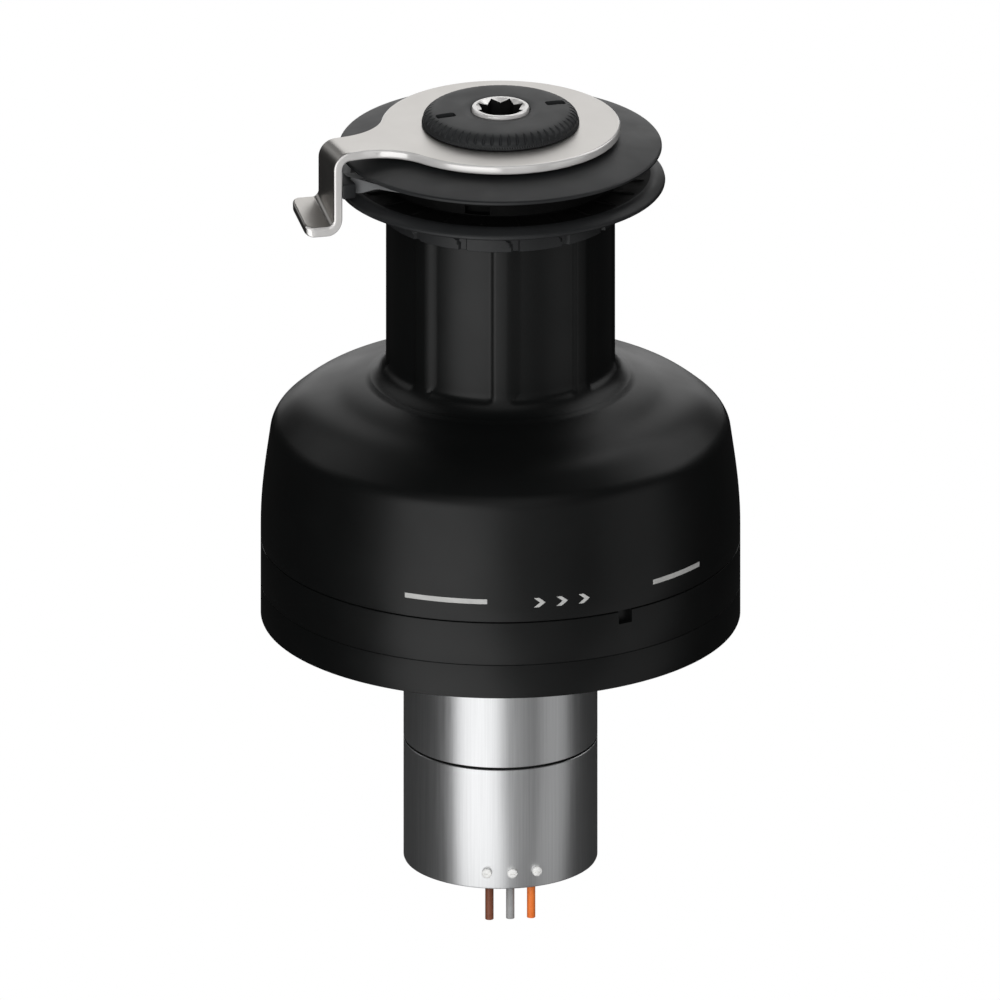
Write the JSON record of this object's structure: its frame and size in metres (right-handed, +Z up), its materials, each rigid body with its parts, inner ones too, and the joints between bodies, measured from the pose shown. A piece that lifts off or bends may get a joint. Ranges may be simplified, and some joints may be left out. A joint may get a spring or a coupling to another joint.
{
  "type": "electric self-tailing winch",
  "caption": "Electric self-tailing winch: ribbed drum on a domed geared base, spring-loaded jaws, steel line guide, motor can below deck.",
  "frame": {"origin": "centre of the deck bolt circle on the underside of the base ring", "axes": "+Z up along the drum axis, -Y towards the viewer of the picture, the guide arm at 201 degrees from +X"},
  "size_m": [0.24, 0.24, 0.4198],
  "materials": {
    "black_anodised": "satin",
    "black_composite": "matte",
    "polished_stainless": "polished",
    "fastener_steel": "satin",
    "gear_steel": "machined",
    "stem_aluminium": "machined",
    "can_aluminium": "brushed",
    "bronze": "satin",
    "copper": "gloss",
    "seal_rubber": "matte",
    "board_green": "gloss",
    "capacitor_sleeve": "gloss",
    "nylon_white": "satin",
    "lead_brown": "satin",
    "lead_grey": "satin",
    "lead_orange": "satin"
  },
  "bodies": {
    "root": {"base_plate": "black_anodised", "gear_housing": "black_anodised", "housing_seal": "seal_rubber", "housing_screws": "fastener_steel", "planet_ring_gear": "gear_steel", "carrier_bearing": "gear_steel", "gear_cage": "stem_aluminium", "idler_shafts": "gear_steel", "stem": "stem_aluminium", "stem_screws": "fastener_steel", "spindle_bushes": "bronze", "spindle_seal": "seal_rubber", "thrust_washer": "bronze", "line_guide": "polished_stainless", "guide_screws": "fastener_steel", "feeder": "black_composite", "cap_snap_ring": "fastener_steel", "can_upper": "can_aluminium", "can_lower": "can_aluminium", "can_seal": "seal_rubber", "motor_screws": "fastener_steel", "motor_top_plate": "stem_aluminium", "motor_bottom_plate": "stem_aluminium", "motor_bearings": "gear_steel", "stator_core": "gear_steel", "stator_windings": "copper", "control_board": "board_green", "power_capacitors": "capacitor_sleeve", "terminal_block": "black_composite", "lead_screws": "nylon_white", "lead_grommets": "seal_rubber", "lead_brown": "lead_brown", "lead_grey": "lead_grey", "lead_orange": "lead_orange"},
    "drum": {"drum_skirt": "black_anodised", "drum_barrel": "black_anodised", "drum_ring_gear": "gear_steel", "drum_screws": "fastener_steel", "crown_ring": "black_composite", "jaw_hub": "black_anodised", "upper_jaw": "black_composite", "jaw_springs": "fastener_steel"},
    "lower_jaw": {"lower_jaw": "black_composite"},
    "drive_shaft": {"planet_carrier": "gear_steel", "pinion": "gear_steel", "ratchet_cup": "gear_steel", "spindle": "polished_stainless"},
    "pawl_a": {"pawl_a": "bronze"},
    "pawl_b": {"pawl_b": "bronze"},
    "planet_1": {"planet_gear_1": "gear_steel"},
    "planet_2": {"planet_gear_2": "gear_steel"},
    "planet_3": {"planet_gear_3": "gear_steel"},
    "idler_1": {"idler_gear_1": "gear_steel"},
    "idler_2": {"idler_gear_2": "gear_steel"},
    "rotor": {"rotor_core": "gear_steel", "rotor_magnets": "gear_steel", "rotor_shaft": "gear_steel"},
    "lower_rollers": {"lower_rollers": "gear_steel"},
    "upper_rollers": {"upper_rollers": "gear_steel"},
    "top_cap": {"top_cap": "black_composite"}
  },
  "joints": [
    {"name": "drum_spin", "type": "hinge", "parent": "root", "child": "drum", "pos_m": [0, 0, 0], "axis": [0, 0, 1], "continuous": true},
    {"name": "lower_jaw_slide", "type": "slide", "parent": "drum", "child": "lower_jaw", "axis": [0, 0, -1], "range_m": [0, 0.003], "stiffness_N_per_m": 4000, "springref_m": -0.002, "deforming": ["jaw_springs"]},
    {"name": "drive_shaft_spin", "type": "hinge", "parent": "root", "child": "drive_shaft", "pos_m": [0, 0, 0], "axis": [0, 0, 1], "continuous": true},
    {"name": "idler_1_spin", "type": "hinge", "parent": "root", "child": "idler_1", "pos_m": [0.057, 0, 0], "axis": [0, 0, 1], "continuous": true},
    {"name": "idler_2_spin", "type": "hinge", "parent": "root", "child": "idler_2", "pos_m": [-0.057, 0, 0], "axis": [0, 0, 1], "continuous": true},
    {"name": "planet_1_spin", "type": "hinge", "parent": "drive_shaft", "child": "planet_1", "pos_m": [0, 0.0225, 0], "axis": [0, 0, 1], "continuous": true},
    {"name": "planet_2_spin", "type": "hinge", "parent": "drive_shaft", "child": "planet_2", "pos_m": [-0.01949, -0.01125, 0], "axis": [0, 0, 1], "continuous": true},
    {"name": "planet_3_spin", "type": "hinge", "parent": "drive_shaft", "child": "planet_3", "pos_m": [0.01949, -0.01125, 0], "axis": [0, 0, 1], "continuous": true},
    {"name": "rotor_spin", "type": "hinge", "parent": "root", "child": "rotor", "pos_m": [0, 0, 0], "axis": [0, 0, 1], "continuous": true},
    {"name": "lower_rollers_spin", "type": "hinge", "parent": "root", "child": "lower_rollers", "pos_m": [0, 0, 0], "axis": [0, 0, 1], "continuous": true},
    {"name": "upper_rollers_spin", "type": "hinge", "parent": "root", "child": "upper_rollers", "pos_m": [0, 0, 0], "axis": [0, 0, 1], "continuous": true},
    {"name": "pawl_a_swing", "type": "hinge", "parent": "drive_shaft", "child": "pawl_a", "pos_m": [0.0095, 0, 0], "axis": [0, 0, 1], "range_deg": [0, 14], "stiffness_Nm_per_rad": 0.02, "springref_deg": -11.46},
    {"name": "pawl_b_swing", "type": "hinge", "parent": "drive_shaft", "child": "pawl_b", "pos_m": [-0.0095, 0, 0], "axis": [0, 0, 1], "range_deg": [0, 14], "stiffness_Nm_per_rad": 0.02, "springref_deg": -11.46},
    {"name": "top_cap_turn", "type": "hinge", "parent": "root", "child": "top_cap", "pos_m": [0, 0, 0], "axis": [0, 0, 1], "range_deg": [0, 90]}
  ],
  "couplings": [
    {"joint": "drive_shaft_spin", "follows": "drum_spin", "ratio": -8.5},
    {"joint": "idler_1_spin", "follows": "drum_spin", "ratio": 2.2667},
    {"joint": "idler_2_spin", "follows": "drum_spin", "ratio": 2.2667},
    {"joint": "planet_1_spin", "follows": "drum_spin", "ratio": 21.25},
    {"joint": "planet_2_spin", "follows": "drum_spin", "ratio": 21.25},
    {"joint": "planet_3_spin", "follows": "drum_spin", "ratio": 21.25},
    {"joint": "rotor_spin", "follows": "drum_spin", "ratio": -51},
    {"joint": "lower_rollers_spin", "follows": "drum_spin", "ratio": 0.575},
    {"joint": "upper_rollers_spin", "follows": "drum_spin", "ratio": 0.575}
  ]
}
